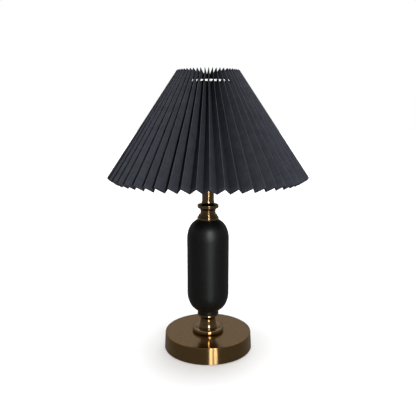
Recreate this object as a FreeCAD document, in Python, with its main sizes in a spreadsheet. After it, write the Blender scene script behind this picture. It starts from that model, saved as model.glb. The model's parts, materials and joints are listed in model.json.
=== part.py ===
"""Table lamp with a pleated shade, in millimetres.

+Z is up and the origin is the centre of the base's underside. The front of the lamp looks towards -Y
and the flex enters at the back, +Y. Everything is coaxial with Z.
"""

import FreeCAD, Part
import Sketcher
import math
import os

DIMENSIONS = {
    # base
    "base_radius": 69.0,
    "base_flare": 1.4,
    "base_height": 26.6,
    "cover_wall": 1.6,
    "cover_edge": 1.3,
    "cover_clear": 0.8,
    "felt_thick": 1.6,
    "felt_radius": 68.0,
    "weight_radius": 67.1,
    "weight_height": 23.3,
    "nut_recess_radius": 14.0,
    "nut_recess_depth": 8.0,
    "channel_width": 9.0,
    # flex inlet
    "inlet_height": 9.6,
    "inlet_bore": 3.6,
    "inlet_body": 5.2,
    "inlet_flange": 6.8,
    "inlet_inside": 5.0,
    "inlet_rim": 1.4,
    # threaded rod M10 x 1
    "rod_radius": 5.0,
    "rod_bore": 3.8,
    "rod_hole": 5.2,
    "rod_foot": 3.4,
    "rod_top": 293.0,
    "nut_flats": 17.0,
    "nut_thick": 4.5,
    "washer_radius": 11.0,
    "washer_thick": 1.5,
    # lower ferrule
    "foot_radius": 25.3,
    "foot_height": 7.6,
    "foot_round": 3.9,
    "foot_tuck": 2.6,
    "foot_dip": 2.4,
    "groove_radius": 13.4,
    "groove_height": 1.2,
    "bell_radius": 14.8,
    "bell_bead": 3.2,
    "bell_arc": 40.0,
    "waist_low": 12.1,
    "waist_low_top": 47.2,
    "cup_neck": 12.3,
    "cup_neck_height": 48.6,
    "cup_radius": 16.9,
    "cup_bottom": 53.0,
    "cup_top": 56.0,
    "cup_flare": 13.0,
    "spigot_radius": 12.6,
    "collar_radius": 16.9,
    "collar_height": 1.2,
    # capsule
    "capsule_radius": 33.1,
    "capsule_middle": 136.15,
    "capsule_straight": 44.05,
    "shoulder_radius": 29.69,
    "shoulder_height": 60.76,
    "mouth_radius": 15.9,
    "mouth_height": 74.6,
    "side_arc": 42.5,
    "dome_arc": 26.37,
    "neck_length": 2.6,
    "neck_radius": 14.9,
    "capsule_wall": 1.5,
    # upper ferrule
    "band_radius": 16.8,
    "band_height": 4.65,
    "band_round": 1.4,
    "roll_radius": 14.2,
    "roll_gap": 1.0,
    "roll_height": 2.1,
    "roll_round": 1.12,
    "bead_low": 2.2,
    "bead_height": 1.6,
    "bead_round": 0.85,
    "waist_high": 11.65,
    "hoop_radius": 12.2,
    "hoop_height": 0.8,
    "waist_high_end": 225.0,
    "waist_top_radius": 14.6,
    "waist_top": 228.7,
    "waist_arc": 8.0,
    # dished cup and tube
    "dish_radius": 16.6,
    "dish_rim": 4.3,
    "dish_drop": 1.2,
    "dish_inner": 13.2,
    "bead_radius": 12.7,
    "bead_top": 239.4,
    "tube_radius": 9.35,
    "tube_bore": 7.8,
    "tube_top": 278.0,
    "tube_cap_radius": 11.5,
    "tube_cap_thick": 3.0,
    # lampholder E27 and its small screws
    "grub_radius": 1.85,
    "grub_length": 3.6,
    "grub_slot": 0.6,
    "terminal_shank": 1.9,
    "terminal_length": 5.5,
    "terminal_head": 3.2,
    "terminal_head_thick": 1.8,
    "terminal_reach": 9.0,
    "cap_nipple": 7.6,
    "cap_nipple_height": 5.5,
    "cap_dome": 18.2,
    "cap_height": 21.0,
    "cap_wall": 1.4,
    "skirt_radius": 19.8,
    "skirt_bore": 17.4,
    "skirt_height": 40.0,
    "shoulder_flange": 23.4,
    "shoulder_thick": 3.0,
    "thread_depth": 0.7,
    "thread_pitch": 2.54,
    "block_radius": 16.4,
    "block_height": 16.0,
    "shell_bore": 13.5,
    "shell_wall": 0.5,
    "shell_height": 20.0,
    # shade fitter
    "hub_clear": 0.1,
    "hub_radius": 27.0,
    "hub_thick": 1.6,
    "ring_outer": 26.4,
    "ring_height": 7.0,
    "wire_radius": 1.5,
    "wire_ring": 50.4,
    "wire_ring_height": 419.3,
    "spoke_upright": 34.0,
    "spoke_bend": 6.5,
    # pleated shade
    "shade_top_radius": 46.4,
    "shade_top": 436.8,
    "shade_bottom_radius": 153.1,
    "shade_bottom": 278.8,
    "pleat_width": 16.5,
    "pleat_thick": 0.7,
    "slot_clear": 0.2,
    # bulb, A60 with an E27 cap
    "lamp_cap_radius": 13.4,
    "lamp_cap_height": 19.5,
    "lamp_neck": 14.2,
    "lamp_housing": 24.5,
    "lamp_housing_height": 35.5,
    "globe_radius": 30.0,
    "globe_wall": 1.0,
}
PLEATS = 52
SPOKES = 3
FIRST_FOLD_DEG = -88.8  # an outer fold just right of the front
BACKWARDS = (0, 1, 0)

doc = FreeCAD.newDocument("TableLamp")
sheet = doc.addObject("Spreadsheet::Sheet", "Sizes")
for row, (alias, number) in enumerate(DIMENSIONS.items(), start=1):
    sheet.set(f"A{row}", alias)
    sheet.set(f"B{row}", str(number))
    sheet.setAlias(f"B{row}", alias)
doc.recompute()

pieces = []


class Size:
    """A number with the expression that gives it from the sheet."""

    def __init__(self, value, text):
        self.value = value
        self.text = text

    def __add__(self, other):
        other = as_size(other)
        return Size(self.value + other.value, f"({self.text} + {other.text})")

    def __sub__(self, other):
        other = as_size(other)
        return Size(self.value - other.value, f"({self.text} - {other.text})")

    def __mul__(self, other):
        other = as_size(other)
        return Size(self.value * other.value, f"({self.text} * {other.text})")


def as_size(number):
    return number if isinstance(number, Size) else Size(number, f"{number:.6g}")


def size(alias):
    return Size(float(sheet.get(alias)), f"Sizes.{alias}")


def arc_middle(start, end, radius):
    """The middle of the shorter arc from start to end. A positive radius bulges to the right."""
    chord = end - start
    half = chord.Length / 2
    rise = abs(radius) - math.sqrt(radius * radius - half * half)
    right = FreeCAD.Vector(chord.y, -chord.x, 0).normalize()
    return (start + end) * 0.5 + right * math.copysign(rise, radius)


def draw_profile(sketch, outline):
    """Draws a closed outline of (r, z) or (r, z, radius) corners.

    A radius makes the edge to that corner an arc.
    """
    corners = [(as_size(c[0]), as_size(c[1])) for c in outline]
    points = [FreeCAD.Vector(r.value, z.value, 0) for r, z in corners]
    radii = [as_size(c[2]) if len(c) == 3 else None for c in outline]
    count = len(points)
    for i in range(count):
        start, end, radius = points[i], points[(i + 1) % count], radii[(i + 1) % count]
        if radius is None:
            sketch.addGeometry(Part.LineSegment(start, end))
        else:
            sketch.addGeometry(Part.Arc(start, arc_middle(start, end, radius.value), end))
    starts = [start_of(sketch, i, points[i]) for i in range(count)]
    for i in range(count):
        following = (i + 1) % count
        end = 3 - starts[i]
        sketch.addConstraint(Sketcher.Constraint("Coincident", i, end, following, starts[following]))
    for i, (r, z) in enumerate(corners):
        if r.value == 0:
            sketch.addConstraint(Sketcher.Constraint("PointOnObject", i, starts[i], -2))
        else:
            bind(sketch, Sketcher.Constraint("DistanceX", -1, 1, i, starts[i], r.value), r)
        if z.value == 0:
            sketch.addConstraint(Sketcher.Constraint("PointOnObject", i, starts[i], -1))
        else:
            bind(sketch, Sketcher.Constraint("DistanceY", -1, 1, i, starts[i], z.value), z)
    for i in range(count):
        radius = radii[(i + 1) % count]
        if radius is not None:
            positive = radius if radius.value > 0 else radius * -1
            bind(sketch, Sketcher.Constraint("Radius", i, positive.value), positive)


def start_of(sketch, index, point):
    """Which end of a sketch edge, 1 or 2, lies on the point: an arc always runs anticlockwise."""
    first = sketch.getPoint(index, 1)
    last = sketch.getPoint(index, 2)
    return 1 if first.distanceToPoint(point) <= last.distanceToPoint(point) else 2


def bind(sketch, constraint, length):
    index = sketch.addConstraint(constraint)
    sketch.setExpression(f"Constraints[{index}]", length.text)


def keep(piece, label):
    piece.Label = label
    pieces.append(piece)
    return piece


def lathe(label, outline, grooves=()):
    """A turned piece: a PartDesign body with one revolution, and a groove for each further outline."""
    body = doc.addObject("PartDesign::Body", f"{label}_body")
    turn = revolve(body, "PartDesign::Revolution", outline)
    for groove in grooves:
        doc.recompute()
        before = turn.Shape.Volume
        turn = revolve(body, "PartDesign::Groove", groove)
        doc.recompute()
        if turn.Shape.Volume >= before:
            raise RuntimeError(f"a groove in {label} cut nothing")
    body.Tip = turn
    return keep(body, label)


def revolve(body, kind, outline):
    sketch = body.newObject("Sketcher::SketchObject", f"{body.Name}_profile")
    plane = next(f for f in body.Origin.OriginFeatures if f.Role == "XZ_Plane")
    sketch.AttachmentSupport = [(plane, "")]
    sketch.MapMode = "FlatFace"
    draw_profile(sketch, outline)
    turn = body.newObject(kind, f"{body.Name}_turn")
    turn.Profile = sketch
    turn.ReferenceAxis = (sketch, ["V_Axis"])
    turn.Angle = 360
    sketch.Visibility = False
    return turn


def block(name, length, width, height, corner):
    """A box bound to the sheet; corner is its lowest corner."""
    box = doc.addObject("Part::Box", name)
    box.setExpression("Length", length.text)
    box.setExpression("Width", width.text)
    box.setExpression("Height", height.text)
    return place(box, corner)


def round_bar(name, radius, height, corner, axis=(0, 0, 1)):
    """A cylinder bound to the sheet that starts at corner and runs along axis."""
    bar = doc.addObject("Part::Cylinder", name)
    bar.setExpression("Radius", radius.text)
    bar.setExpression("Height", height.text)
    return place(bar, corner, axis)


def place(piece, corner, axis=(0, 0, 1)):
    """Binds the placement of a piece, whose own axis Z is turned to the axis given."""
    turn = FreeCAD.Rotation(FreeCAD.Vector(0, 0, 1), FreeCAD.Vector(*axis))
    piece.Placement = FreeCAD.Placement(FreeCAD.Vector(), turn)
    for letter, length in zip("xyz", corner):
        piece.setExpression(f"Placement.Base.{letter}", as_size(length).text)
    return piece


def cut(name, base, tool):
    result = doc.addObject("Part::Cut", name)
    result.Base = base
    result.Tool = tool
    return result


def fuse(name, *shapes):
    result = doc.addObject("Part::MultiFuse", name)
    result.Shapes = list(shapes)
    return result


def tube(label, inner, outer, bottom, top):
    return lathe(label, [(inner, bottom), (outer, bottom), (outer, top), (inner, top)])


# ---------------------------------------------------------------- base

def make_felt_pad():
    radius = size("felt_radius")
    return lathe("felt_pad", [(0, 0), (radius, 0), (radius, size("felt_thick")), (0, size("felt_thick"))])


def make_base_weight():
    """A cast disc with a rod hole, a nut recess below and a channel from there to the flex inlet."""
    bottom = size("felt_thick")
    recess_top = bottom + size("nut_recess_depth")
    disc = lathe(
        "base_weight_disc",
        [
            (size("rod_hole"), recess_top),
            (size("nut_recess_radius"), recess_top),
            (size("nut_recess_radius"), bottom),
            (size("weight_radius"), bottom),
            (size("weight_radius"), size("weight_height")),
            (size("rod_hole"), size("weight_height")),
        ],
    )
    pieces.remove(disc)
    width = size("channel_width")
    depth = size("inlet_height") + size("inlet_body") - bottom
    reach = size("weight_radius")
    channel = block("flex_channel", width, reach, depth, (width * -0.5, 0, bottom))
    seat_radius = size("inlet_body") + 0.6
    seat = round_bar("bush_seat", seat_radius, reach, (0, reach - 8, size("inlet_height")), BACKWARDS)
    return keep(cut("weight_cut", disc, fuse("weight_tools", channel, seat)), "base_weight")


def make_base_cover():
    """A drawn shell, open below, a little wider at its foot, with a hole for the inlet bush at the back."""
    outer = size("base_radius")
    inner = outer - size("cover_wall")
    top = size("base_height")
    edge = size("cover_edge")
    flare = size("base_flare")
    shell = lathe(
        "base_cover_shell",
        [
            (inner + flare, size("cover_clear")),
            (outer + flare, size("cover_clear")),
            (outer, top - edge),
            (outer - edge, top, edge),
            (size("rod_hole"), top),
            (size("rod_hole"), top - size("cover_wall")),
            (inner, top - size("cover_wall")),
        ],
    )
    pieces.remove(shell)
    start = outer + flare - size("inlet_inside")
    corner = (0, start, size("inlet_height"))
    hole = round_bar("inlet_hole", size("inlet_body"), size("inlet_inside") * 2, corner, BACKWARDS)
    return keep(cut("cover_cut", shell, hole), "base_cover")


def make_inlet_bush():
    """A flanged bush through the cover's rear wall; the flex passes through its bore."""
    outer = size("base_radius") + size("base_flare")
    start = outer - size("inlet_inside")
    height = size("inlet_height")
    inside = size("inlet_inside")
    sleeve = round_bar("bush_sleeve", size("inlet_body"), inside, (0, start, height), BACKWARDS)
    flange = round_bar("bush_flange", size("inlet_flange"), size("inlet_rim"), (0, outer, height), BACKWARDS)
    bore = round_bar("bush_bore", size("inlet_bore"), inside * 2, (0, start - 1, height), BACKWARDS)
    return keep(cut("bush_cut", fuse("bush_body", sleeve, flange), bore), "inlet_bush")


def make_rod_nut():
    nut_top = size("felt_thick") + size("nut_recess_depth") - size("washer_thick")
    prism = doc.addObject("Part::Prism", "nut_prism")
    prism.Polygon = 6
    prism.setExpression("Circumradius", (size("nut_flats") * (1 / math.sqrt(3))).text)
    prism.setExpression("Height", size("nut_thick").text)
    place(prism, (0, 0, nut_top - size("nut_thick")))
    bore = round_bar("nut_bore", size("rod_radius"), size("nut_thick") * 3, (0, 0, 0))
    return keep(cut("nut_cut", prism, bore), "rod_nut")


def make_rod_washer():
    top = size("felt_thick") + size("nut_recess_depth")
    return tube("rod_washer", size("rod_hole"), size("washer_radius"), top - size("washer_thick"), top)


def make_threaded_rod():
    return tube("threaded_rod", size("rod_bore"), size("rod_radius"), size("rod_foot"), size("rod_top"))


# ---------------------------------------------------------------- column

def make_lower_ferrule():
    """Foot ring, groove, bell with a bead and flared cup; the capsule's spigot sits in the cup."""
    bottom = size("base_height")
    foot = size("foot_radius")
    foot_top = bottom + size("foot_height")
    rounding = size("foot_round")
    tuck = size("foot_tuck")
    groove = size("groove_radius")
    dip = foot_top - size("foot_dip")
    bell = size("bell_radius")
    bell_bottom = dip + size("groove_height")
    bead_top = bell_bottom + size("bell_bead")
    waist = size("waist_low")
    rim = size("cup_radius")
    seat = size("cup_bottom")
    spigot = size("spigot_radius") + 0.1
    return lathe(
        "lower_ferrule",
        [
            (size("rod_hole"), bottom),
            (foot - tuck, bottom),
            (foot, bottom + tuck, tuck),
            (foot, foot_top - rounding),
            (foot - rounding, foot_top, rounding),
            (bell + 0.8, dip),
            (groove, dip),
            (groove, bell_bottom),
            (bell - 0.5, bell_bottom),
            (bell - 0.5, bead_top, size("bell_bead")),
            (bell - 1, bead_top),
            (waist, size("waist_low_top"), size("bell_arc") * -1),
            (size("cup_neck"), size("cup_neck_height")),
            (rim - 0.5, size("cup_top") - 2.8, size("cup_flare") * -1),
            (rim, size("cup_top") - 2.2),
            (rim, size("cup_top")),
            (spigot, size("cup_top")),
            (spigot, seat),
            (size("rod_hole"), seat),
        ],
    )


def make_capsule_body():
    """A hollow capsule, the same above and below its middle, with a neck above and a collar below."""
    middle = size("capsule_middle")
    wall = size("capsule_wall")
    outer = size("capsule_radius")
    side = size("capsule_straight")
    shoulder = size("shoulder_height")
    mouth = size("mouth_height")
    neck = size("neck_radius")
    tip = mouth + size("neck_length")
    collar = size("collar_radius")
    collar_bottom = size("cup_top")
    collar_top = collar_bottom + size("collar_height")
    bore = size("rod_hole")
    inside_side = size("side_arc") - wall
    inside_dome = size("dome_arc") - wall
    inner_shoulder = size("shoulder_radius") - wall * 0.9196
    inner_shoulder_height = shoulder - wall * 0.3929
    return lathe(
        "capsule_body",
        [
            (bore, size("cup_bottom")),
            (size("spigot_radius"), size("cup_bottom")),
            (size("spigot_radius"), collar_bottom),
            (collar - 0.3, collar_bottom),
            (collar, collar_bottom + 0.3),
            (collar, collar_top),
            (size("mouth_radius"), collar_top + 1),
            (size("mouth_radius"), middle - mouth),
            (size("shoulder_radius"), middle - shoulder, size("dome_arc")),
            (outer, middle - side, size("side_arc")),
            (outer, middle + side),
            (size("shoulder_radius"), middle + shoulder, size("side_arc")),
            (size("mouth_radius"), middle + mouth, size("dome_arc")),
            (neck, middle + mouth),
            (neck, middle + tip),
            (bore, middle + tip),
            (bore, middle + mouth - wall),
            (neck - wall, middle + mouth - wall),
            (inner_shoulder, middle + inner_shoulder_height, inside_dome * -1),
            (outer - wall, middle + side, inside_side * -1),
            (outer - wall, middle - side),
            (inner_shoulder, middle - inner_shoulder_height, inside_side * -1),
            (neck - wall, middle - mouth + wall, inside_dome * -1),
            (bore, middle - mouth + wall),
        ],
    )


def make_upper_ferrule():
    """Band over the capsule's upper neck, a roll, a bead, a waist with a thin hoop and a flare."""
    middle = size("capsule_middle")
    bottom = middle + size("mouth_height")
    band = size("band_radius")
    band_top = bottom + size("band_height")
    rounding = size("band_round")
    roll = size("roll_radius")
    roll_start = band_top + size("roll_gap")
    roll_end = roll_start + size("roll_height")
    bead_start = roll_end + size("bead_low")
    bead_end = bead_start + size("bead_height")
    waist = size("waist_high")
    hoop = size("hoop_radius")
    hoop_end = size("waist_high_end") + size("hoop_height")
    top = size("waist_top")
    seat = bottom + size("neck_length") + 0.1
    bore = size("neck_radius") + 0.1
    return lathe(
        "upper_ferrule",
        [
            (bore, bottom),
            (band - 0.4, bottom),
            (band, bottom + 0.4),
            (band, band_top - rounding),
            (band - rounding, band_top, rounding),
            (roll, band_top),
            (roll, roll_start),
            (roll, roll_end, size("roll_round")),
            (waist, roll_end),
            (waist, bead_start),
            (waist, bead_end, size("bead_round")),
            (waist, size("waist_high_end")),
            (hoop, size("waist_high_end")),
            (hoop, hoop_end),
            (waist, hoop_end),
            (size("waist_top_radius"), top, size("waist_arc") * -1),
            (size("rod_hole"), top),
            (size("rod_hole"), seat),
            (bore, seat),
        ],
    )


def make_neck_cup():
    """Dished flange on the waist, with the bead that the tube stands in."""
    bottom = size("waist_top")
    rim = size("dish_radius")
    rim_top = bottom + 1.4 + size("dish_rim")
    dish = rim_top - size("dish_drop")
    bead = size("bead_radius")
    bead_top = size("bead_top")
    tube_seat = size("tube_radius") + 0.05
    return lathe(
        "neck_cup",
        [
            (size("rod_hole"), bottom),
            (size("waist_top_radius"), bottom),
            (rim, bottom + 1.4, 1.8),
            (rim, rim_top - 0.6),
            (rim - 0.6, rim_top, 0.6),
            (rim - 1.2, rim_top),
            (size("dish_inner"), dish, -6),
            (bead, dish),
            (tube_seat + 0.3, bead_top, -8),
            (tube_seat, bead_top),
            (tube_seat, dish - 0.4),
            (size("rod_hole"), dish - 0.4),
        ],
    )


def make_neck_tube():
    start = size("waist_top") + 1.4 + size("dish_rim") - size("dish_drop") - 0.4
    return tube("neck_tube", size("tube_bore"), size("tube_radius"), start, size("tube_top"))


def make_tube_cap():
    """Turned washer on the tube's upper end, with a spigot that centres the tube on the rod."""
    top = size("tube_top")
    return lathe(
        "tube_cap",
        [
            (size("rod_hole"), top - 4),
            (size("tube_bore") - 0.05, top - 4),
            (size("tube_bore") - 0.05, top),
            (size("tube_cap_radius"), top),
            (size("tube_cap_radius"), top + size("tube_cap_thick") - 1),
            (size("tube_cap_radius") - 1, top + size("tube_cap_thick"), 1),
            (size("rod_hole"), top + size("tube_cap_thick")),
        ],
    )


# ---------------------------------------------------------------- lampholder

def holder_floor():
    """The height at which the lampholder's cap stands on the tube cap."""
    return size("tube_top") + size("tube_cap_thick")


def skirt_floor():
    return holder_floor() + size("cap_height")


def block_top():
    return skirt_floor() + 10


def make_holder_cap():
    floor = holder_floor()
    top = skirt_floor()
    nipple = size("cap_nipple")
    nipple_top = floor + size("cap_nipple_height")
    dome = size("cap_dome")
    wall = size("cap_wall")
    cap = lathe(
        "holder_cap_shell",
        [
            (size("rod_hole"), floor),
            (nipple, floor),
            (nipple, nipple_top),
            (dome, nipple_top + 9, 12),
            (dome, top),
            (dome - wall, top),
            (dome - wall, nipple_top + 9.4),
            (nipple, nipple_top + 1.8, -11),
            (size("rod_hole"), nipple_top + 1.8),
        ],
    )
    pieces.remove(cap)
    screw_height = floor + size("cap_nipple_height") * 0.5
    start = (0, size("rod_radius"), screw_height)
    hole = round_bar("grub_hole", size("grub_radius") + 0.05, size("grub_length") * 2, start, BACKWARDS)
    return keep(cut("holder_cap_cut", cap, hole), "holder_cap")


def make_grub_screw():
    """The set screw in the nipple that stops the lampholder turning on the rod."""
    screw_height = holder_floor() + size("cap_nipple_height") * 0.5
    start = size("rod_radius") + 0.05
    radius = size("grub_radius")
    width = size("grub_slot")
    body = round_bar("grub_body", radius, size("grub_length"), (0, start, screw_height), BACKWARDS)
    low_corner = (width * -0.5, start + size("grub_length") - 0.8, screw_height - radius)
    slot = block("grub_slot_tool", width, radius, radius * 2, low_corner)
    return keep(cut("grub_cut", body, slot), "grub_screw")


def make_holder_skirt():
    """The outer shell: a shoulder for the shade's hub, and thread ridges above it for the shade ring."""
    floor = skirt_floor()
    top = floor + size("skirt_height")
    outer = size("skirt_radius")
    bore = size("skirt_bore")
    shoulder = floor + 4
    shoulder_top = shoulder + size("shoulder_thick")
    valley = outer - size("thread_depth")
    pitch = size("thread_pitch").value
    outline = [
        (bore, floor + 0.2),
        (outer - 1.2, floor + 0.2),
        (outer, floor + 1.4, 1.2),
        (outer, shoulder),
        (size("shoulder_flange"), shoulder),
        (size("shoulder_flange"), shoulder_top),
        (outer, shoulder_top),
    ]
    ridges = int((size("skirt_height").value - 14) / pitch)
    for i in range(ridges):
        start = shoulder_top + 3 + pitch * i
        outline.append((outer, start))
        outline.append((valley, start + 0.5))
        outline.append((valley, start + 0.9))
        outline.append((outer, start + 1.4))
    outline += [
        (outer, top - 1),
        (outer - 1, top, 1),
        (size("lamp_neck") + 0.9, top),
        (size("lamp_neck") + 0.9, top - 1.8),
        (bore, top - 1.8),
    ]
    return lathe("holder_skirt", outline)


def make_terminal_block():
    """The insulator with two wells for the terminal screws."""
    top = block_top()
    bottom = top - size("block_height")
    radius = size("block_radius")
    disc = lathe("block_disc", [(0, bottom), (radius, bottom), (radius, top), (0, top)])
    pieces.remove(disc)
    radius = size("terminal_shank") + 0.1
    depth = size("terminal_length") + 0.5
    wells = [round_bar(f"well_{name}", radius, depth, (x, 0, bottom)) for name, x in terminal_places()]
    return keep(cut("block_cut", disc, fuse("wells", *wells)), "terminal_block")


def terminal_places():
    reach = size("terminal_reach")
    return ("left", reach * -1), ("right", reach)


def make_terminal_screws():
    bottom = block_top() - size("block_height")
    thick = size("terminal_head_thick")
    bars = []
    for name, x in terminal_places():
        shank = round_bar(f"shank_{name}", size("terminal_shank"), size("terminal_length"), (x, 0, bottom))
        head = round_bar(f"head_{name}", size("terminal_head"), thick, (x, 0, bottom - thick))
        bars.append(fuse(f"terminal_{name}", shank, head))
    screws = doc.addObject("Part::Compound", "terminal_pair")
    screws.Links = bars
    return keep(screws, "terminal_screws")


def make_live_contact():
    """The sprung centre contact: a low dome on the block."""
    floor = block_top()
    return lathe(
        "live_contact",
        [(0, floor), (4.5, floor), (4.5, floor + 0.4), (1.5, floor + 1.2, 8), (0, floor + 1.2)],
    )


def make_screw_shell():
    floor = block_top()
    bore = size("shell_bore")
    outer = bore + size("shell_wall")
    top = floor + size("shell_height")
    return lathe(
        "screw_shell",
        [(9.5, floor), (outer, floor), (outer, top), (bore, top), (bore, floor + 0.6), (9.5, floor + 0.6)],
    )


# ---------------------------------------------------------------- shade fitter

def hub_floor():
    return skirt_floor() + 4 + size("shoulder_thick") + size("hub_clear")


def make_fitter_hub():
    bore = size("skirt_radius") + size("hub_clear")
    return tube("fitter_hub", bore, size("hub_radius"), hub_floor(), hub_floor() + size("hub_thick"))


def make_fitter_ring():
    ring = doc.addObject("Part::Torus", "wire_ring")
    ring.setExpression("Radius1", size("wire_ring").text)
    ring.setExpression("Radius2", size("wire_radius").text)
    return keep(place(ring, (0, 0, size("wire_ring_height"))), "fitter_ring")


def make_fitter_spokes():
    """Bent wires from the hub's rim, up beside the bulb and out to the ring, flush with both."""
    wire = size("wire_radius").value
    low = hub_floor().value + size("hub_thick").value / 2
    high = size("wire_ring_height").value
    upright = size("spoke_upright").value
    bend = size("spoke_bend").value
    start = size("hub_radius").value - 1
    diagonal = bend * (1 - math.sqrt(0.5))

    def point(radius, height):
        return FreeCAD.Vector(radius, 0, height)

    low_arc = Part.Arc(
        point(upright - bend, low), point(upright - diagonal, low + diagonal), point(upright, low + bend)
    )
    high_arc = Part.Arc(
        point(upright, high - bend), point(upright + diagonal, high - diagonal), point(upright + bend, high)
    )
    edges = [
        Part.LineSegment(point(start, low), point(upright - bend, low)),
        low_arc,
        Part.LineSegment(point(upright, low + bend), point(upright, high - bend)),
        high_arc,
        Part.LineSegment(point(upright + bend, high), point(size("wire_ring").value, high)),
    ]
    path = Part.Wire([edge.toShape() for edge in edges])
    circle = Part.Circle(point(start, low), FreeCAD.Vector(1, 0, 0), wire)
    profile = Part.Wire([circle.toShape()])
    spoke = path.makePipeShell([profile], True, False)
    hub = Part.makeCylinder(size("hub_radius").value, 10, FreeCAD.Vector(0, 0, low - 5))
    ring = Part.makeTorus(size("wire_ring").value, wire, FreeCAD.Vector(0, 0, high))
    spoke = spoke.cut(hub).cut(ring)
    spoke = max(spoke.Solids, key=lambda solid: solid.Volume)
    copies = []
    for i in range(SPOKES):
        copy = spoke.copy()
        copy.rotate(FreeCAD.Vector(), FreeCAD.Vector(0, 0, 1), 90 + 360 * i / SPOKES)
        copies.append(copy)
    spokes = doc.addObject("Part::Feature", "spokes")
    spokes.Shape = Part.makeCompound(copies)
    spokes.Placement = FreeCAD.Placement()
    return keep(spokes, "fitter_spokes")


def make_shade_ring():
    """The threaded ring that clamps the hub: a knurled rim, shown plain, over a thin flange."""
    floor = hub_floor() + size("hub_thick") + size("hub_clear")
    bore = size("skirt_radius") + size("hub_clear")
    outer = size("ring_outer")
    top = floor + size("ring_height")
    return lathe(
        "shade_ring",
        [
            (bore, floor),
            (outer, floor),
            (outer, floor + 2.5),
            (outer - 2.2, floor + 3.2),
            (outer - 2.2, top - 0.6),
            (outer - 2.8, top, 0.6),
            (bore, top),
        ],
    )


# ---------------------------------------------------------------- pleated shade

def fold_ends(radius, height, lean):
    """Outer fold, inner fold and half the angle between two panels, where one end of the pleats is cut."""
    step = math.pi / PLEATS
    half = radius * math.sin(step)
    depth = math.sqrt(size("pleat_width").value ** 2 - half * half)
    inner = (radius - depth * lean[0], height - depth * lean[1])
    return (radius, height), inner, math.atan2(half, depth)


def rim_points(radius, height, lean):
    """The corners of the folded strip at one end: three outside and three inside for each pleat."""
    outer, inner, angle = fold_ends(radius, height, lean)
    half_thick = size("pleat_thick").value / 2
    mitre = half_thick / math.sin(angle)
    slope = (outer[1] - inner[1]) / (outer[0] - inner[0])

    def point(radius_here, turn, aside=0.0):
        c, s = math.cos(turn), math.sin(turn)
        level = outer[1] - (outer[0] - radius_here) * slope
        return FreeCAD.Vector(radius_here * c - aside * s, radius_here * s + aside * c, level)

    outside, inside = [], []
    for k in range(PLEATS):
        fold = math.radians(FIRST_FOLD_DEG) + 2 * math.pi * k / PLEATS
        valley = fold + math.pi / PLEATS
        fold_edges = [point(outer[0], fold, side * half_thick) for side in (-1, 1)]
        valley_edges = [point(inner[0], valley, side * half_thick) for side in (-1, 1)]
        outside.append([*fold_edges, point(inner[0] + mitre, valley)])
        inside.append([point(outer[0] - mitre, fold), *valley_edges])
    return outside, inside


def triangle(a, b, c):
    return Part.Face(Part.makePolygon([a, b, c, a]))


def panel(a, b, c, d):
    """Two flat faces for the slightly twisted panel between the fold a-d and the fold b-c."""
    return [triangle(a, b, d), triangle(b, c, d)]


def make_pleated_shade():
    """One folded strip with a slot across every inner fold for the wire ring."""
    top = (size("shade_top_radius").value, size("shade_top").value)
    bottom = (size("shade_bottom_radius").value, size("shade_bottom").value)
    slant = math.hypot(bottom[0] - top[0], top[1] - bottom[1])
    lean = ((top[1] - bottom[1]) / slant, (bottom[0] - top[0]) / slant)
    top_out, top_in = rim_points(*top, lean)
    low_out, low_in = rim_points(*bottom, lean)
    faces = []
    for k in range(PLEATS):
        n = (k + 1) % PLEATS
        for high, low in ((top_out, low_out), (top_in, low_in)):
            faces += panel(high[k][0], high[k][1], low[k][1], low[k][0])
            faces += panel(high[k][1], high[k][2], low[k][2], low[k][1])
            faces += panel(high[k][2], high[n][0], low[n][0], low[k][2])
        for out, ins in ((top_out, top_in), (low_out, low_in)):
            faces.append(triangle(out[k][0], out[k][1], ins[k][0]))
            faces.append(triangle(out[k][1], out[k][2], ins[k][0]))
            faces.append(triangle(out[k][2], ins[k][1], ins[k][0]))
            faces.append(triangle(out[k][2], ins[k][2], ins[k][1]))
            faces.append(triangle(out[k][2], out[n][0], ins[k][2]))
            faces.append(triangle(out[n][0], ins[n][0], ins[k][2]))
    shell = Part.makeShell(faces)
    shell.sewShape()
    strip = Part.makeSolid(shell)
    if strip.Volume < 0:
        strip.reverse()
    wire = size("wire_radius").value + size("slot_clear").value
    floor = FreeCAD.Vector(0, 0, size("wire_ring_height").value - wire)
    slot = Part.makeCylinder(size("wire_ring").value + wire, 2 * wire, floor)
    shade = doc.addObject("Part::Feature", "folded_strip")
    shade.Shape = strip.cut(slot).Solids[0]
    shade.Placement = FreeCAD.Placement()
    return keep(shade, "pleated_shade")


# ---------------------------------------------------------------- bulb

def bulb_floor():
    """The underside of the bulb's centre contact, just above the holder's."""
    return block_top() + 1.5


def make_bulb_contact():
    floor = bulb_floor()
    return lathe(
        "bulb_contact",
        [(0, floor), (3.6, floor), (4.6, floor + 0.8, 1.2), (4.6, floor + 1.2), (0, floor + 1.2)],
    )


def make_bulb_insulator():
    floor = bulb_floor() + 1.2
    return lathe(
        "bulb_insulator",
        [(0, floor), (5.6, floor), (11.4, floor + 3.4), (11.4, floor + 4), (0, floor + 4)],
    )


def make_bulb_cap():
    floor = bulb_floor() + 3.2
    radius = size("lamp_cap_radius")
    top = floor + size("lamp_cap_height")
    return lathe(
        "bulb_cap",
        [
            (11.5, floor),
            (12.2, floor),
            (radius, floor + 1.4),
            (radius, top),
            (radius - 0.5, top),
            (radius - 0.5, floor + 2.0),
            (11.5, floor + 2.0),
        ],
    )


def make_bulb_housing():
    floor = bulb_floor() + 3.2 + size("lamp_cap_height")
    neck = size("lamp_neck")
    top = floor + size("lamp_housing_height")
    inside = size("lamp_cap_radius") - 0.6
    return lathe(
        "bulb_housing",
        [
            (0, floor - 8),
            (inside, floor - 8),
            (inside, floor),
            (neck, floor),
            (neck, floor + 8),
            (size("lamp_housing"), top, -70),
            (0, top),
        ],
    )


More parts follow.
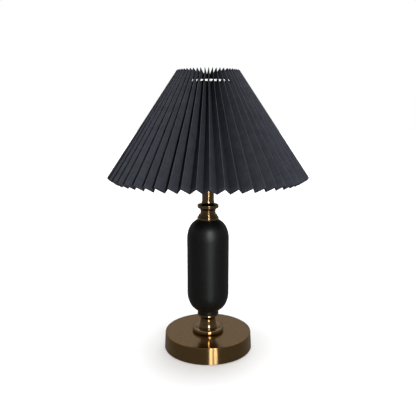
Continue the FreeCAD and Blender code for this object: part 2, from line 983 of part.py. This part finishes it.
def root_of_difference(long_side, short_side):
    """The other side of a right-angled triangle."""
    length = math.sqrt(long_side.value**2 - short_side.value**2)
    return Size(length, f"sqrt({long_side.text}^2 - {short_side.text}^2)")


def make_bulb_globe():
    """A thin diffuser, a little more than half a sphere, closed below by the housing."""
    radius = size("globe_radius")
    rim = size("lamp_housing")
    floor = bulb_floor() + 3.2 + size("lamp_cap_height") + size("lamp_housing_height")
    rise = root_of_difference(radius, rim)
    centre = floor + rise
    inner = radius - size("globe_wall")
    inner_rim = root_of_difference(inner, rise)
    return lathe(
        "bulb_globe",
        [
            (rim, floor),
            (radius, centre, radius),
            (0, centre + radius, radius),
            (0, centre + inner),
            (inner, centre, inner * -1),
            (inner_rim, floor, inner * -1),
        ],
    )


for make in (
    make_felt_pad,
    make_base_weight,
    make_base_cover,
    make_inlet_bush,
    make_rod_nut,
    make_rod_washer,
    make_threaded_rod,
    make_lower_ferrule,
    make_capsule_body,
    make_upper_ferrule,
    make_neck_cup,
    make_neck_tube,
    make_tube_cap,
    make_holder_cap,
    make_grub_screw,
    make_holder_skirt,
    make_terminal_block,
    make_terminal_screws,
    make_live_contact,
    make_screw_shell,
    make_fitter_hub,
    make_fitter_ring,
    make_fitter_spokes,
    make_pleated_shade,
    make_shade_ring,
    make_bulb_contact,
    make_bulb_insulator,
    make_bulb_cap,
    make_bulb_housing,
    make_bulb_globe,
):
    make()

doc.recompute()
for item in doc.Objects:
    if "Invalid" in item.State or "Error" in item.State:
        raise RuntimeError(f"{item.Name} ({item.Label}) failed: {item.State}")
for piece in pieces:
    if piece.Shape.isNull() or not piece.Shape.isValid():
        raise RuntimeError(f"{piece.Label} has no valid shape")

os.makedirs("parts", exist_ok=True)
for piece in pieces:
    piece.Shape.exportStep(f"parts/{piece.Label}.step")
print(f"{len(pieces)} sub-parts written")
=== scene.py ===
"""Looks for the table lamp: camera, light, materials and the folded cloth of the shade."""

import json
import math
import random

import bpy
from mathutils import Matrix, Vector


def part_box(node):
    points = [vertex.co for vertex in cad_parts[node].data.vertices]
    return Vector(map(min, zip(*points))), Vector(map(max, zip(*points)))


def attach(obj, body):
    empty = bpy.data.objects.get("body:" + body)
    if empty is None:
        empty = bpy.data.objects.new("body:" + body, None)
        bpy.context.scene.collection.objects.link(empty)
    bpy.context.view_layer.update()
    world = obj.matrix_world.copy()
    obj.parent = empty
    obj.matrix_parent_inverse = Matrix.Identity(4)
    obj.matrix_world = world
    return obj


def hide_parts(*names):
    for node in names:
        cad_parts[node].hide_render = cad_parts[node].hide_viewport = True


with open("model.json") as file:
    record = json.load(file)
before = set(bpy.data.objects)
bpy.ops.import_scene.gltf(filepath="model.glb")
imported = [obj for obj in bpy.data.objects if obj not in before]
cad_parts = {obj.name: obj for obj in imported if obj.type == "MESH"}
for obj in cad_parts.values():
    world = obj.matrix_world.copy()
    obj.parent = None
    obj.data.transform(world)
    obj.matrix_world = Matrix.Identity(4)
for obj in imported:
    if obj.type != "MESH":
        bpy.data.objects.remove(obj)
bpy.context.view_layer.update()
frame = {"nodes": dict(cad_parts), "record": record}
nodes = frame["nodes"]

# Lengths are in metres and angles in degrees, unless a name says otherwise.

CAMERA_PLACE = (0.0, -0.77005, 0.36889)
CAMERA_TILT_DEG = 10.34
CAMERA_LENS_MM = 43.33
CAMERA_SENSOR_MM = 36.0

# The surround that the lamp reflects: its level in front, what it reaches behind, what is added
# above, and the shares that are left of it past the lamp's edges and for matt surfaces.
WORLD_DIM = 0.13
WORLD_BEHIND = 0.25
WORLD_ABOVE = 0.35
WORLD_LOW = 0.15
WORLD_ON_MATT = 0.35
WORLD_TINT = (1.0, 0.95, 0.90, 1)

# The directions that those levels go with, and the cosines between which each one comes in.
UP_AND_BACK = (0.0, 0.8, 0.6)
BEHIND_SPAN = (-0.2, 0.9)
STRAIGHT_UP = (0.0, 0.0, 1.0)
ABOVE_SPAN = (0.2, 0.8)
BACK_AND_DOWN = (0.0, 0.968, -0.25)
EDGE_SPAN = (0.84, 0.95)

FLOOR_HALF = 12.0
FLOOR_LIGHT = 4.6

# Far lights as azimuth, elevation, strength, spread and colour.
FAR_LIGHTS = {
    "key": (13, 2, 4.1, 3, (1.0, 0.99, 0.975)),
    "back_fill": (165, 40, 1.0, 50, (0.95, 0.97, 1.0)),
}

# Reflection panels as azimuth, height, width, length and power, all at one reach from the axis.
PANEL_REACH = 1.25
PANEL_COLOUR = (1.0, 0.985, 0.96)
GLOW_PANELS = {
    "window_left": (8.0, 0.48, 0.09, 0.80, 5.0),
    "window_right": (18.0, 0.48, 0.11, 0.80, 4.7),
    "window_high": (13.0, 0.86, 0.30, 0.22, 4.6),
    "low_left": (7.0, -0.52, 0.15, 0.46, 1.6),
    "low_right": (19.0, -0.52, 0.18, 0.46, 1.65),
}

# The folded strip: a panel is the flat between an outer fold and the inner fold beside it.
PLEATS = 52
FIRST_FOLD_DEG = -88.8
PLEAT_WIDTH = 0.0165
CLOTH_THICK = 0.0006
WIRE_CLEAR = 0.0002
DOWN_ROWS = 26
ROWS_ABOVE_SLOT = 4
ROWS_IN_SLOT = 2
HALVINGS = 30

# How close to the CAD shade's extremes its points count as being on the top or the hem.
TOP_REACH = 1e-5
HEM_REACH = 4e-4

# How far the folds stray from an even cone.
SEED = 7
FOLD_TURN_DEG = 0.35
FOLD_TWIST_DEG = 0.25
FOLD_SHIFT = 0.0003
PANEL_BOW = 0.00025

# The cloth: one thread of the weave, the lumps in it along and across a thread, and how far the
# painted highlight, partly wear, reaches from an outer crease.
THREAD = 0.00055
SLUB_FINE = 1400.0
SLUB_LONG = 45.0
CREASE_RUB_AND_HIGHLIGHT = 0.0006

# Tool marks round the axis, as a noise's steps to the metre.
TURNING_FINE = 1500.0
PLATING_FINE = 7000.0
PLATING_COARSE = 300.0

# The range that a noise seldom leaves.
NOISE_SPAN = (0.25, 0.75)

# Finishes by material slot, as name, dark tone, light tone, roughness and, where lacquered, coat.
MOULDED = {
    "white_wire": ("white_enamel", (0.80, 0.80, 0.77), (0.87, 0.87, 0.85), 0.3, 0.5),
    "bush_plastic": ("bush_plastic", (0.012, 0.012, 0.012), (0.022, 0.022, 0.022), 0.5),
    "holder_plastic": ("thermoset", (0.010, 0.010, 0.011), (0.018, 0.018, 0.019), 0.3, 0.3),
    "holder_insulator": ("steatite", (0.68, 0.66, 0.60), (0.78, 0.76, 0.70), 0.6),
    "bulb_glass": ("black_glass", (0.012, 0.012, 0.014), (0.02, 0.02, 0.024), 0.15, 0.5),
    "bulb_plastic": ("bulb_plastic", (0.80, 0.80, 0.78), (0.86, 0.86, 0.84), 0.42),
    "bulb_diffuser": ("bulb_diffuser", (0.84, 0.84, 0.81), (0.89, 0.89, 0.86), 0.38),
}
PLATED = {
    "zinc_steel": ("zinc", (0.42, 0.42, 0.40), (0.62, 0.62, 0.60), 0.38),
    "contact_brass": ("contact_brass", (0.60, 0.42, 0.17), (0.78, 0.58, 0.27), 0.3),
    "bulb_nickel": ("bulb_nickel", (0.55, 0.55, 0.53), (0.72, 0.72, 0.70), 0.25),
}

# ------------------------------------------------------------------ building with nodes


class Nodes:
    """A node tree being built, with short ways to add and join nodes."""

    def __init__(self, tree):
        self.tree = tree
        self.tree.nodes.clear()

    def add(self, kind, **settings):
        node = self.tree.nodes.new(kind)
        for key, value in settings.items():
            setattr(node, key, value)
        return node

    def join(self, source, target):
        self.tree.links.new(source, target)

    def feed(self, socket, value):
        """A plain number or colour set on a socket, or another node's output joined to it."""
        if isinstance(value, (int, float)):
            socket.default_value = value
        elif isinstance(value, tuple):
            socket.default_value = (*value, 1)
        else:
            self.join(value, socket)

    def maths(self, operation, a, b=0.0):
        node = self.add("ShaderNodeMath", operation=operation)
        for socket, value in zip(node.inputs, (a, b)):
            self.feed(socket, value)
        return node.outputs[0]

    def times(self, a, b):
        return self.maths("MULTIPLY", a, b)

    def plus(self, a, b):
        return self.maths("ADD", a, b)

    def spread(self, value, low, high, to_low, to_high):
        """The value carried from the range low to high over to the range to_low to to_high."""
        node = self.add("ShaderNodeMapRange")
        for socket, number in zip(list(node.inputs)[1:5], (low, high, to_low, to_high)):
            socket.default_value = number
        self.join(value, node.inputs[0])
        return node.outputs[0]

    def facing(self, direction, towards):
        """How far a direction points the given way: 1 when it does, -1 when it points away."""
        node = self.add("ShaderNodeVectorMath", operation="DOT_PRODUCT")
        node.inputs[1].default_value = towards
        self.join(direction, node.inputs[0])
        return node.outputs["Value"]


class Shader(Nodes):
    """A material being built round one Principled shader."""

    def __init__(self, name):
        self.material = bpy.data.materials.new(name)
        self.material.use_nodes = True
        super().__init__(self.material.node_tree)
        out = self.add("ShaderNodeOutputMaterial")
        self.surface = self.add("ShaderNodeBsdfPrincipled")
        self.join(self.surface.outputs[0], out.inputs["Surface"])

    def set(self, **values):
        """Numbers and colours that are the same all over, set on the shader's own sockets."""
        for key, value in values.items():
            self.feed(self.surface.inputs[key.replace("_", " ")], value)

    def place(self):
        """Position on the object as x, y and z outputs."""
        coordinates = self.add("ShaderNodeTexCoord")
        parts = self.add("ShaderNodeSeparateXYZ")
        self.join(coordinates.outputs["Object"], parts.inputs[0])
        return parts.outputs

    def vector(self, x, y, z):
        node = self.add("ShaderNodeCombineXYZ")
        for socket, value in zip(node.inputs, (x, y, z)):
            self.feed(socket, value)
        return node.outputs[0]

    def noise(self, scale, detail=2.0, rough=0.5, vector=None):
        node = self.add("ShaderNodeTexNoise")
        node.inputs["Scale"].default_value = scale
        node.inputs["Detail"].default_value = detail
        node.inputs["Roughness"].default_value = rough
        if vector is not None:
            self.join(vector, node.inputs["Vector"])
        return node.outputs["Fac"]

    def tint(self, value, low_colour, high_colour, low=0.3, high=0.7):
        ramp = self.add("ShaderNodeValToRGB")
        first, last = ramp.color_ramp.elements
        first.position = low
        first.color = (*low_colour, 1)
        last.position = high
        last.color = (*high_colour, 1)
        self.join(value, ramp.inputs["Fac"])
        return ramp.outputs["Color"]

    def blend(self, factor, first, second):
        """The first colour where factor is 0 and the second where it is 1."""
        node = self.add("ShaderNodeMix", data_type="RGBA")
        for number, value in ((0, factor), (6, first), (7, second)):
            self.feed(node.inputs[number], value)
        return node.outputs[2]

    def colour(self, source):
        self.join(source, self.surface.inputs["Base Color"])

    def rough(self, value, low, high):
        """Roughness that runs from low to high as a noise does over its usual range."""
        self.join(self.spread(value, *NOISE_SPAN, low, high), self.surface.inputs["Roughness"])

    def bump(self, height, distance, strength):
        node = self.add("ShaderNodeBump")
        node.inputs["Strength"].default_value = strength
        node.inputs["Distance"].default_value = distance
        self.join(height, node.inputs["Height"])
        self.join(node.outputs[0], self.surface.inputs["Normal"])


# ------------------------------------------------------------------ camera, floor and light


def make_camera():
    data = bpy.data.cameras.new("camera")
    data.lens = CAMERA_LENS_MM
    data.sensor_width = CAMERA_SENSOR_MM
    data.dof.use_dof = False
    camera = bpy.data.objects.new("camera", data)
    camera.location = CAMERA_PLACE
    camera.rotation_euler = (math.radians(90 - CAMERA_TILT_DEG), 0, 0)
    bpy.context.scene.collection.objects.link(camera)
    bpy.context.scene.camera = camera


def link_light(name, data, place, target):
    """A light at a place, turned to shine at a target, that the camera doesn't see."""
    light = bpy.data.objects.new(name, data)
    light.location = place
    light.visible_camera = False
    direction = Vector(target) - light.location
    light.rotation_euler = direction.to_track_quat("-Z", "Y").to_euler()
    bpy.context.scene.collection.objects.link(light)
    return light


def make_glow_panel(name, azimuth_deg, height, width, tall, power):
    """A soft panel that shows as a reflection only; azimuth runs from the front towards +X."""
    data = bpy.data.lights.new(name, "AREA")
    data.shape = "RECTANGLE"
    data.size = width
    data.size_y = tall
    data.energy = power
    data.color = PANEL_COLOUR
    turn = math.radians(azimuth_deg)
    place = (PANEL_REACH * math.sin(turn), -PANEL_REACH * math.cos(turn), height)
    light = link_light(name, data, place, (0, 0, height))
    light.visible_diffuse = False


def make_far_light(name, azimuth_deg, elevation_deg, strength, spread_deg, colour):
    """Even light from one direction, for matt surfaces."""
    data = bpy.data.lights.new(name, "SUN")
    data.energy = strength
    data.angle = math.radians(spread_deg)
    data.color = colour
    turn = math.radians(azimuth_deg)
    rise = math.radians(elevation_deg)
    place = (math.cos(rise) * math.sin(turn), -math.cos(rise) * math.cos(turn), math.sin(rise))
    light = link_light(name, data, place, (0, 0, 0))
    light.visible_glossy = False
    return light


def make_world():
    """A white surround for the eye, and a dim one for what the lamp reflects.

    The dim one is lighter behind and above, and darker past the lamp's edges. Matt surfaces are
    lit by a share of it only.
    """
    world = bpy.data.worlds.new("studio")
    world.use_nodes = True
    studio = Nodes(world.node_tree)
    direction = studio.add("ShaderNodeTexCoord").outputs["Generated"]
    rays = studio.add("ShaderNodeLightPath")
    back, up, down = (
        studio.facing(direction, way) for way in (UP_AND_BACK, STRAIGHT_UP, BACK_AND_DOWN)
    )
    behind = studio.spread(back, *BEHIND_SPAN, WORLD_DIM, WORLD_BEHIND)
    above = studio.spread(up, *ABOVE_SPAN, 0.0, WORLD_ABOVE)
    past_edges = studio.spread(down, *EDGE_SPAN, 1.0, WORLD_LOW)
    on_matt = studio.spread(rays.outputs["Is Diffuse Ray"], 0.0, 1.0, 1.0, WORLD_ON_MATT)
    level = studio.times(studio.times(studio.plus(behind, above), past_edges), on_matt)
    fill = studio.add("ShaderNodeBackground")
    fill.inputs["Color"].default_value = WORLD_TINT
    studio.join(level, fill.inputs["Strength"])
    seen = studio.add("ShaderNodeBackground")
    seen.inputs["Color"].default_value = (1, 1, 1, 1)
    mix = studio.add("ShaderNodeMixShader")
    studio.join(rays.outputs["Is Camera Ray"], mix.inputs["Fac"])
    studio.join(fill.outputs[0], mix.inputs[1])
    studio.join(seen.outputs[0], mix.inputs[2])
    studio.join(mix.outputs[0], studio.add("ShaderNodeOutputWorld").inputs["Surface"])
    bpy.context.scene.world = world


def make_floor():
    """A pale floor with a light of its own, so that it stays white while the lamp is lit softly."""
    corners = [(x * FLOOR_HALF, y * FLOOR_HALF, 0) for x, y in ((-1, -1), (1, -1), (1, 1), (-1, 1))]
    mesh = bpy.data.meshes.new("floor")
    mesh.from_pydata(corners, [], [(0, 1, 2, 3)])
    floor = bpy.data.objects.new("floor", mesh)
    bpy.context.scene.collection.objects.link(floor)
    mesh.materials.append(floor_paint())
    floor.visible_glossy = False
    floor.visible_diffuse = False
    lit = bpy.data.collections.new("lit_floor")
    lit.objects.link(floor)
    light = make_far_light("floor_light", 0, 89, FLOOR_LIGHT, 70, (1, 1, 1))
    light.light_linking.receiver_collection = lit


def make_lights():
    for name, settings in FAR_LIGHTS.items():
        make_far_light(name, *settings)
    for name, settings in GLOW_PANELS.items():
        make_glow_panel(name, *settings)


# ------------------------------------------------------------------ materials


def floor_paint():
    s = Shader("floor_paint")
    wander = s.noise(scale=3.0, detail=3.0)
    s.colour(s.tint(wander, (0.905, 0.905, 0.905), (0.925, 0.925, 0.925)))
    s.rough(wander, 0.85, 0.95)
    return s.material


def moulded(name, dark, light, rough, coat=0.0):
    """Moulded plastic or enamel: a slow drift of tone and a skin that is not quite flat."""
    s = Shader(name)
    drift = s.noise(scale=35.0, detail=3.0)
    skin = s.noise(scale=420.0, detail=3.0, rough=0.55)
    s.colour(s.tint(drift, dark, light))
    s.rough(skin, rough - 0.05, rough + 0.05)
    s.bump(skin, distance=0.00003, strength=0.25)
    s.set(Coat_Weight=coat, Coat_Roughness=0.12)
    return s.material


def plated(name, dark, light, rough):
    """Bright or plated metal with fine turning marks round the axis."""
    s = Shader(name)
    x, y, z = s.place()
    drift = s.noise(scale=60.0, detail=3.0)
    flat = [s.times(value, PLATING_COARSE) for value in (x, y)]
    marks = s.noise(scale=1.0, vector=s.vector(*flat, s.times(z, PLATING_FINE)))
    s.colour(s.tint(drift, dark, light))
    s.rough(drift, rough - 0.06, rough + 0.06)
    s.bump(marks, distance=0.00003, strength=0.25)
    s.set(Metallic=1.0)
    return s.material


def cast_iron():
    s = Shader("cast_iron")
    lumps = s.noise(scale=160.0, detail=6.0, rough=0.65)
    patches = s.noise(scale=18.0, detail=4.0)
    s.colour(s.tint(patches, (0.030, 0.029, 0.028), (0.075, 0.072, 0.070), 0.35, 0.65))
    s.rough(patches, 0.72, 0.9)
    s.bump(lumps, distance=0.0005, strength=0.8)
    s.set(Specular_IOR_Level=0.3)
    return s.material


def felt():
    """Pressed wool: short tangled fibres."""
    s = Shader("felt")
    fibres = s.noise(scale=1800.0, detail=5.0, rough=0.75)
    clumps = s.noise(scale=120.0, detail=3.0)
    tone = s.plus(s.times(fibres, 0.7), s.times(clumps, 0.3))
    s.colour(s.tint(tone, (0.008, 0.008, 0.009), (0.035, 0.035, 0.037), 0.35, 0.65))
    s.rough(clumps, 0.9, 1.0)
    s.bump(fibres, distance=0.0004, strength=0.9)
    s.set(Specular_IOR_Level=0.1, Sheen_Weight=0.15, Sheen_Roughness=0.6)
    return s.material


def antique_brass(name, dark, light, rough, flat_rough, brushed):
    """Turned brass under lacquer, brushed round the axis and mottled by patina.

    Faces that look up have a roughness of their own.
    """
    s = Shader(name)
    x, y, z = s.place()
    radius = s.maths("SQRT", s.plus(s.times(x, x), s.times(y, y)))
    turn = s.maths("ARCTAN2", y, x)
    rings = s.vector(s.times(radius, TURNING_FINE), s.times(turn, 1.5), s.times(z, TURNING_FINE))
    streaks = s.noise(scale=1.0, detail=4.0, rough=0.55, vector=rings)
    patina = s.noise(scale=24.0, detail=4.0, rough=0.55)
    tone = s.plus(s.times(streaks, 0.4), s.times(patina, 0.6))
    s.colour(s.tint(tone, dark, light, 0.32, 0.68))
    normal = s.add("ShaderNodeSeparateXYZ")
    s.join(s.add("ShaderNodeTexCoord").outputs["Normal"], normal.inputs[0])
    level = s.spread(normal.outputs[2], 0.8, 0.98, rough, flat_rough)
    uneven = s.spread(streaks, *NOISE_SPAN, -0.015, 0.015)
    s.join(s.plus(level, uneven), s.surface.inputs["Roughness"])
    s.bump(streaks, distance=0.00001, strength=0.15)
    tangent = s.add("ShaderNodeTangent", direction_type="RADIAL", axis="Z")
    s.join(tangent.outputs[0], s.surface.inputs["Tangent"])
    s.set(Metallic=1.0, Anisotropic=brushed, Anisotropic_Rotation=0.25)
    s.set(Coat_Weight=0.2, Coat_Roughness=0.08)
    return s.material


def satin_black():
    """Sprayed satin lacquer with a fine orange peel."""
    s = Shader("satin_black")
    peel = s.noise(scale=900.0)
    cloud = s.noise(scale=22.0, detail=3.0)
    s.colour(s.tint(cloud, (0.0022, 0.0023, 0.0022), (0.0038, 0.0040, 0.0039)))
    s.rough(cloud, 0.41, 0.46)
    s.bump(peel, distance=0.00002, strength=0.3)
    s.set(Specular_IOR_Level=0.38, Specular_Tint=(0.90, 0.97, 1.0))
    return s.material


def woven_cloth():
    """Plain-woven dark cloth on a stiff sheet, with painted shade towards the inner folds and a
    painted highlight, partly wear, on the outer creases.
    """
    s = Shader("shade_cloth")
    cut = s.add("ShaderNodeUVMap", uv_map="cut")
    parts = s.add("ShaderNodeSeparateXYZ")
    s.join(cut.outputs["UV"], parts.inputs[0])
    along, down = parts.outputs[0], parts.outputs[1]
    drift = s.times(s.noise(scale=260.0, vector=s.vector(along, down, 0.0)), 2.5)
    warp, weft = (
        s.maths("SINE", s.plus(s.times(way, 2 * math.pi / THREAD), drift)) for way in (along, down)
    )
    weave = s.times(warp, weft)
    down_lumps = s.vector(s.times(along, SLUB_FINE), s.times(down, SLUB_LONG), 0.0)
    along_lumps = s.vector(s.times(along, SLUB_LONG), s.times(down, SLUB_FINE), 5.0)
    both = [s.noise(scale=1.0, detail=3.0, vector=lumps) for lumps in (down_lumps, along_lumps)]
    slubs = s.times(s.plus(*both), 0.5)
    blotch = s.noise(scale=16.0)
    tone = s.plus(s.times(slubs, 0.8), s.times(blotch, 0.2))
    tone = s.plus(tone, s.times(weave, 0.05))
    cloth = s.tint(tone, (0.0195, 0.0205, 0.0268), (0.051, 0.0552, 0.069), 0.32, 0.68)
    from_crease = s.maths("PINGPONG", along, PLEAT_WIDTH)
    # Painted shade: the cloth darkens towards the inner folds, where the pleats shade each other.
    painted_fold_shade = s.spread(from_crease, 0.3 * PLEAT_WIDTH, PLEAT_WIDTH, 0.0, 0.4)
    cloth = s.blend(painted_fold_shade, cloth, (0.012, 0.013, 0.017))
    # Painted highlight, partly wear: the cloth is lighter along the outer creases, where light
    # catches the fold.
    rub_and_highlight = s.spread(from_crease, 0.0, CREASE_RUB_AND_HIGHLIGHT, 0.5, 0.0)
    s.colour(s.blend(rub_and_highlight, cloth, (0.085, 0.088, 0.102)))
    s.rough(slubs, 0.82, 0.95)
    s.bump(s.plus(s.times(weave, 0.4), slubs), distance=0.00012, strength=0.5)
    s.set(Specular_IOR_Level=0.06)
    return s.material


# ------------------------------------------------------------------ the shade's folded strip


def shade_outline():
    """The outer folds' top and bottom ends as (radius, height), read from the CAD shade."""
    _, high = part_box("pleated_shade")
    points = [vertex.co for vertex in nodes["pleated_shade"].data.vertices]
    top_radius = max(math.hypot(p.x, p.y) for p in points if p.z > high.z - TOP_REACH)
    hem = [p.z for p in points if math.hypot(p.x, p.y) > high.x - HEM_REACH]
    return (top_radius, high.z), (high.x, sum(hem) / len(hem))


def on_cone(radius, angle, height):
    return Vector((radius * math.cos(angle), radius * math.sin(angle), height))


def fold_ends(tip, lean):
    """One end of the outer and of the inner folds as (radius, height), a panel's width apart."""
    half = tip[0] * math.sin(math.pi / PLEATS)
    depth = math.sqrt(PLEAT_WIDTH**2 - half**2)
    return tip, (tip[0] - depth * lean[0], tip[1] - depth * lean[1])


class Panel:
    """A flat of the strip: across runs 0 to 1 from outer to inner fold, and down from top to hem."""

    def __init__(self, outer, inner, bow):
        self.outer = outer
        self.inner = inner
        self.bow = bow

    def flat_point(self, across, down):
        outer = self.outer[0].lerp(self.outer[1], down)
        inner = self.inner[0].lerp(self.inner[1], down)
        return outer.lerp(inner, across)

    def down_at(self, across, height):
        top = self.flat_point(across, 0).z
        low = self.flat_point(across, 1).z
        return (top - height) / (top - low)

    def point(self, across, down):
        """A point of the panel, which bows a little between its four edges."""
        down_edge = self.outer[1] - self.outer[0]
        normal = down_edge.cross(self.inner[0] - self.outer[0]).normalized()
        swell = math.sin(math.pi * across) * math.sin(math.pi * min(max(down, 0), 1))
        return self.flat_point(across, down) + normal * (self.bow * swell)


def slot_start(panel, radius, height):
    """How far across a panel it comes within a radius of the axis, at one height, by halving."""
    near, far = 0.0, 1.0
    for _ in range(HALVINGS):
        middle = (near + far) / 2
        p = panel.flat_point(middle, panel.down_at(middle, height))
        if math.hypot(p.x, p.y) > radius:
            near = middle
        else:
            far = middle
    return near


def make_panels():
    """The panels in turn round the shade, and the folds' length from top to hem."""
    top_tip, low_tip = shade_outline()
    fall = top_tip[1] - low_tip[1]
    run = low_tip[0] - top_tip[0]
    slant = math.hypot(run, fall)
    lean = (fall / slant, run / slant)
    outer_top, inner_top = fold_ends(top_tip, lean)
    outer_low, inner_low = fold_ends(low_tip, lean)
    wander = random.Random(SEED)

    def fold(top, low, angle):
        """The two ends of one fold, each a little off its even place."""
        turn = math.radians(wander.uniform(-FOLD_TURN_DEG, FOLD_TURN_DEG))
        twist = math.radians(wander.uniform(-FOLD_TWIST_DEG, FOLD_TWIST_DEG))
        reach = wander.uniform(-FOLD_SHIFT, FOLD_SHIFT)
        drop = wander.uniform(-FOLD_SHIFT, FOLD_SHIFT)
        upper = on_cone(top[0] + reach, angle + turn - twist, top[1])
        return upper, on_cone(low[0] + reach, angle + turn + twist, low[1] + drop)

    step = 2 * math.pi / PLEATS
    start = math.radians(FIRST_FOLD_DEG)
    outer = [fold(outer_top, outer_low, start + step * k) for k in range(PLEATS)]
    inner = [fold(inner_top, inner_low, start + step * (k + 0.5)) for k in range(PLEATS)]
    panels = []
    for k in range(PLEATS):
        for edge in (outer[k], outer[(k + 1) % PLEATS]):
            panels.append(Panel(edge, inner[k], wander.uniform(-PANEL_BOW, PANEL_BOW)))
    return panels, slant


def row_places(upper, lower):
    """How far down a panel its rows of points lie, where the slot runs from upper to lower."""
    below = DOWN_ROWS - ROWS_ABOVE_SLOT - ROWS_IN_SLOT
    places = [upper * j / ROWS_ABOVE_SLOT for j in range(ROWS_ABOVE_SLOT)]
    places += [upper + (lower - upper) * j / ROWS_IN_SLOT for j in range(ROWS_IN_SLOT)]
    return places + [lower + (1 - lower) * j / below for j in range(below + 1)]


def lay_points(panels, stops, slot, slant):
    """The band's points, one column after another, and where each is on the flat strip."""
    points, cuts = [], []
    for index, panel in enumerate(panels):
        outward = index % 2 == 1
        order = reversed(stops[1:]) if outward else stops[:-1]
        for across in order:
            upper, lower = (panel.down_at(across, height) for height in slot)
            downs = row_places(upper, lower)
            along = (index + (1 - across if outward else across)) * PLEAT_WIDTH
            points += [panel.point(across, down) for down in downs]
            cuts += [(along, down * slant) for down in downs]
    return points, cuts


def lay_faces(stops, slot_stop, cuts):
    """The band's faces but for those in the slots, and their corners' places on the flat strip."""
    rows = DOWN_ROWS + 1
    per_panel = len(stops) - 1
    columns = per_panel * 2 * PLEATS
    strip = 2 * PLEATS * PLEAT_WIDTH
    slot_rows = range(ROWS_ABOVE_SLOT, ROWS_ABOVE_SLOT + ROWS_IN_SLOT)
    faces, face_cuts = [], []
    for c in range(columns):
        place = c % per_panel
        outward = (c // per_panel) % 2 == 1
        in_slot = place < per_panel - slot_stop if outward else place >= slot_stop
        following = (c + 1) % columns
        for r in range(DOWN_ROWS):
            if in_slot and r in slot_rows:
                continue
            left, right = c * rows + r, following * rows + r
            corners = (left, left + 1, right + 1, right)
            faces.append(corners)
            edge = [cuts[i] for i in corners]
            if following == 0:
                edge[2:] = [(strip, down) for _, down in edge[2:]]
            face_cuts += edge
    return faces, face_cuts


def make_shade_cloth():
    """The strip as one closed band of cloth, with a slot over each inner fold for the wire."""
    panels, slant = make_panels()
    ring_low, ring_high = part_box("fitter_ring")
    middle = (ring_high.z + ring_low.z) / 2
    slot_half = (ring_high.z - ring_low.z) / 2 + WIRE_CLEAR
    end = slot_start(panels[0], ring_high.x + WIRE_CLEAR, middle)
    stops = [0.0, 0.02, 0.06, end / 2, end, (1 + end) / 2, 0.8, 0.94, 0.98, 1.0]
    slot = (middle + slot_half, middle - slot_half)
    points, cuts = lay_points(panels, stops, slot, slant)
    faces, face_cuts = lay_faces(stops, stops.index(end), cuts)
    mesh = bpy.data.meshes.new("shade_cloth")
    mesh.from_pydata(points, [], faces)
    layer = mesh.uv_layers.new(name="cut")
    for loop, cut in zip(layer.data, face_cuts):
        loop.uv = cut
    mesh.polygons.foreach_set("use_smooth", [True] * len(mesh.polygons))
    cloth = bpy.data.objects.new("shade_cloth", mesh)
    bpy.context.scene.collection.objects.link(cloth)
    thicken = cloth.modifiers.new("thickness", "SOLIDIFY")
    thicken.thickness = CLOTH_THICK
    thicken.offset = 0
    mesh.materials.append(woven_cloth())
    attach(cloth, "shade")
    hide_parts("pleated_shade")


# ------------------------------------------------------------------ materials on the CAD parts


def make_finishes():
    """A finish for each material slot of the CAD parts."""
    finishes = {slot: moulded(*look) for slot, look in MOULDED.items()}
    finishes.update({slot: plated(*look) for slot, look in PLATED.items()})
    finishes["black_capsule"] = satin_black()
    finishes["cast_weight"] = cast_iron()
    finishes["felt"] = felt()
    finishes["antique_brass"] = antique_brass(
        "column_brass",
        dark=(0.22, 0.145, 0.066),
        light=(0.42, 0.30, 0.155),
        rough=0.13,
        flat_rough=0.13,
        brushed=0.6,
    )
    return finishes


def paint_nodes():
    """The CAD shade has no finish, as the cloth is shown in its place."""
    finishes = make_finishes()
    cover = antique_brass(
        "base_brass",
        dark=(0.26, 0.160, 0.060),
        light=(0.345, 0.219, 0.090),
        rough=0.26,
        flat_rough=0.12,
        brushed=1.0,
    )
    for part in frame["record"]["subparts"]:
        name = part["node"]
        finish = cover if name == "base_cover" else finishes.get(part["material_slot"])
        if finish is None:
            continue
        materials = nodes[name].data.materials
        materials.clear()
        materials.append(finish)


make_camera()
make_world()
make_floor()
make_lights()
paint_nodes()
make_shade_cloth()
bpy.context.scene.view_settings.view_transform = "Standard"
